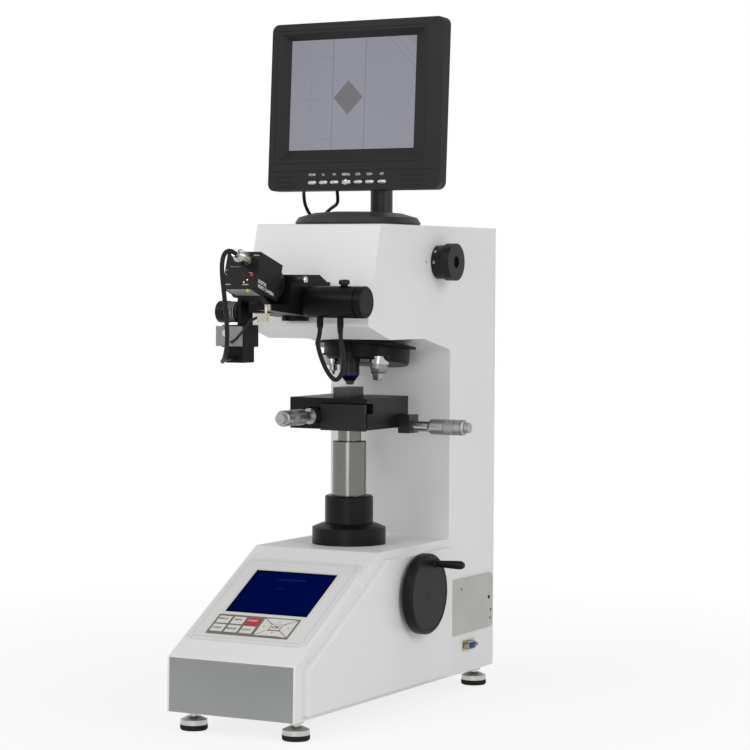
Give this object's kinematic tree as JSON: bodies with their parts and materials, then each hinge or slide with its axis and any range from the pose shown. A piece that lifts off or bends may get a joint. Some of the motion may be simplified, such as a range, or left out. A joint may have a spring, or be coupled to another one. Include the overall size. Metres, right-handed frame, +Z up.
{
  "type": "hardness tester",
  "caption": "Bench micro hardness tester: cabinet with raised head, elevating XY stage, turret with objectives and indenter, camera on beam splitter, and a monitor on top.",
  "frame": {"origin": "on the floor plane, midway between the four feet", "axes": "+Z up, +Y to the back of the cabinet, +X to the operator's right, where the handwheel is"},
  "size_m": [0.259, 0.513, 0.7872],
  "materials": {
    "cabinet_paint": "light grey fine-texture powder coat",
    "panel_paint": "light grey paint over a pressed panel",
    "console_film": "warm white printed film on a plate",
    "lcd_glass": "deep blue display",
    "keypad": "grey membrane with cream and red keys",
    "foot_metal": "satin nickel",
    "rubber": "matt black rubber",
    "black_steel": "satin black oxide",
    "ground_steel": "ground steel",
    "bronze": "bearing bronze",
    "black_alu": "satin black anodised",
    "black_plastic": "satin black plastic",
    "satin_chrome": "satin chrome",
    "specimen_steel": "ground steel block",
    "objective": "black lacquered barrel with steel nose",
    "monitor_plastic": "charcoal moulded plastic",
    "screen": "lit grey screen",
    "silver_key": "silver lacquered key",
    "grey_plastic": "mid grey plastic",
    "socket_blue": "blue insert in a plated shell",
    "lead_black": "black sheathed lead"
  },
  "bodies": {
    "cabinet": {"main_housing": "cabinet_paint", "rear_cover": "cabinet_paint", "bottom_plate": "cabinet_paint", "side_panels": "panel_paint", "leveling_feet": "foot_metal", "foot_pads": "rubber", "console_faceplate": "console_film", "lcd_window": "lcd_glass", "keypad_overlay": "keypad", "column_collar": "black_steel", "drive_bracket": "ground_steel", "shaft_bushing": "bronze", "turret_post": "ground_steel", "splitter_housing": "black_alu", "camera_body": "black_alu", "camera_connector": "satin_chrome", "lamp_housing": "black_alu", "eyepiece_body": "black_alu", "lever_pedestal": "ground_steel", "monitor_stand": "monitor_plastic", "printer_panel": "grey_plastic", "serial_port": "socket_blue", "lamp_lead": "lead_black", "camera_lead": "lead_black", "eyepiece_lead": "lead_black", "monitor_leads": "lead_black"},
    "handwheel": {"handwheel": "black_alu", "pinion_shaft": "ground_steel"},
    "crank": {"crank_handle": "black_plastic"},
    "lift_nut": {"lift_nut_gear": "bronze"},
    "column": {"elevating_sleeve": "ground_steel", "elevating_screw": "ground_steel", "stage_base": "black_steel", "x_micrometer_body": "satin_chrome"},
    "x_stage": {"stage_middle": "black_steel", "y_micrometer_body": "satin_chrome"},
    "y_stage": {"stage_top": "black_steel", "specimen_block": "specimen_steel"},
    "x_thimble": {"x_thimble": "satin_chrome"},
    "y_thimble": {"y_thimble": "satin_chrome"},
    "turret": {"turret_body": "black_alu", "main_objective": "objective", "side_objective": "objective", "indenter": "satin_chrome"},
    "load_selector": {"load_knob": "black_alu"},
    "lever": {"load_lever": "ground_steel", "load_weights": "ground_steel"},
    "load_spindle": {"load_spindle": "ground_steel"},
    "beam_switch": {"beam_switch_rod": "satin_chrome"},
    "measuring_drum": {"eyepiece_drum": "black_alu"},
    "monitor": {"monitor_bezel": "monitor_plastic", "monitor_screen": "screen", "monitor_back": "monitor_plastic"},
    "key_1": {"monitor_key_1": "silver_key"},
    "key_2": {"monitor_key_2": "silver_key"},
    "key_3": {"monitor_key_3": "silver_key"},
    "key_4": {"monitor_key_4": "silver_key"},
    "key_5": {"monitor_key_5": "silver_key"},
    "key_6": {"monitor_key_6": "silver_key"},
    "key_7": {"monitor_key_7": "silver_key"}
  },
  "joints": [
    {"name": "handwheel_turn", "type": "hinge", "parent": "cabinet", "child": "handwheel", "pos_m": [0.09, 0.016, 0.1335], "axis": [1, 0, 0], "range_deg": [-5400, 0]},
    {"name": "crank_spin", "type": "hinge", "parent": "handwheel", "child": "crank", "pos_m": [0.12, 0.0294, 0.1669], "axis": [1, 0, 0], "continuous": true},
    {"name": "nut_turn", "type": "hinge", "parent": "cabinet", "child": "lift_nut", "pos_m": [0, 0.016, 0.11], "axis": [0, 0, 1], "range_deg": [-3600, 0]},
    {"name": "column_lift", "type": "slide", "parent": "cabinet", "child": "column", "axis": [0, 0, 1], "range_m": [-0.06, 0]},
    {"name": "x_travel", "type": "slide", "parent": "column", "child": "x_stage", "axis": [1, 0, 0], "range_m": [-0.0125, 0.0125]},
    {"name": "y_travel", "type": "slide", "parent": "x_stage", "child": "y_stage", "axis": [0, 1, 0], "range_m": [-0.0125, 0.0125]},
    {"name": "x_thimble_turn", "type": "hinge", "parent": "x_stage", "child": "x_thimble", "pos_m": [0.1, 0.052, 0.3215], "axis": [1, 0, 0], "range_deg": [-9000, 9000]},
    {"name": "y_thimble_turn", "type": "hinge", "parent": "y_stage", "child": "y_thimble", "pos_m": [-0.016, -0.09, 0.335], "axis": [0, 1, 0], "range_deg": [-9000, 9000]},
    {"name": "turret_turn", "type": "hinge", "parent": "cabinet", "child": "turret", "pos_m": [0, 0.05561, 0.39293], "axis": [0, 0.1392, 0.9903], "range_deg": [-50, 50]},
    {"name": "load_select", "type": "hinge", "parent": "cabinet", "child": "load_selector", "pos_m": [0.08, 0.0826, 0.5105], "axis": [1, 0, 0], "range_deg": [-180, 90]},
    {"name": "lever_tilt", "type": "hinge", "parent": "cabinet", "child": "lever", "pos_m": [0, 0.06, 0.47], "axis": [1, 0, 0], "range_deg": [0, 1.5]},
    {"name": "spindle_drop", "type": "slide", "parent": "cabinet", "child": "load_spindle", "axis": [0, 0, 1], "range_m": [-0.0012, 0]},
    {"name": "beam_switch_pull", "type": "slide", "parent": "cabinet", "child": "beam_switch", "axis": [1, 0, 0], "range_m": [-0.0075, 0]},
    {"name": "measuring_drum_turn", "type": "hinge", "parent": "cabinet", "child": "measuring_drum", "pos_m": [-0.05, -0.165, 0.454], "axis": [1, 0, 0], "range_deg": [-1800, 1800]},
    {"name": "monitor_tilt", "type": "hinge", "parent": "cabinet", "child": "monitor", "pos_m": [0.00509, 0.09172, 0.68636], "axis": [0.9972, -0.075, 0], "range_deg": [-15, 5], "deforming": ["monitor_leads"]},
    {"name": "key_1_press", "type": "slide", "parent": "monitor", "child": "key_1", "axis": [0.0749, 0.9959, -0.0506], "range_m": [0, 0.0008], "stiffness_N_per_m": 400, "springref_m": -0.001},
    {"name": "key_2_press", "type": "slide", "parent": "monitor", "child": "key_2", "axis": [0.0749, 0.9959, -0.0506], "range_m": [0, 0.0008], "stiffness_N_per_m": 400, "springref_m": -0.001},
    {"name": "key_3_press", "type": "slide", "parent": "monitor", "child": "key_3", "axis": [0.0749, 0.9959, -0.0506], "range_m": [0, 0.0008], "stiffness_N_per_m": 400, "springref_m": -0.001},
    {"name": "key_4_press", "type": "slide", "parent": "monitor", "child": "key_4", "axis": [0.0749, 0.9959, -0.0506], "range_m": [0, 0.0008], "stiffness_N_per_m": 400, "springref_m": -0.001},
    {"name": "key_5_press", "type": "slide", "parent": "monitor", "child": "key_5", "axis": [0.0749, 0.9959, -0.0506], "range_m": [0, 0.0008], "stiffness_N_per_m": 400, "springref_m": -0.001},
    {"name": "key_6_press", "type": "slide", "parent": "monitor", "child": "key_6", "axis": [0.0749, 0.9959, -0.0506], "range_m": [0, 0.0008], "stiffness_N_per_m": 400, "springref_m": -0.001},
    {"name": "key_7_press", "type": "slide", "parent": "monitor", "child": "key_7", "axis": [0.0749, 0.9959, -0.0506], "range_m": [0, 0.0008], "stiffness_N_per_m": 400, "springref_m": -0.001}
  ],
  "couplings": [
    {"joint": "nut_turn", "follows": "handwheel_turn", "ratio": 0.66667},
    {"joint": "column_lift", "follows": "handwheel_turn", "m_per_rad": 0.00063662},
    {"joint": "x_thimble_turn", "follows": "x_travel", "rad_per_m": 12566},
    {"joint": "y_thimble_turn", "follows": "y_travel", "rad_per_m": 12566},
    {"joint": "spindle_drop", "follows": "lever_tilt", "m_per_rad": -0.044}
  ]
}
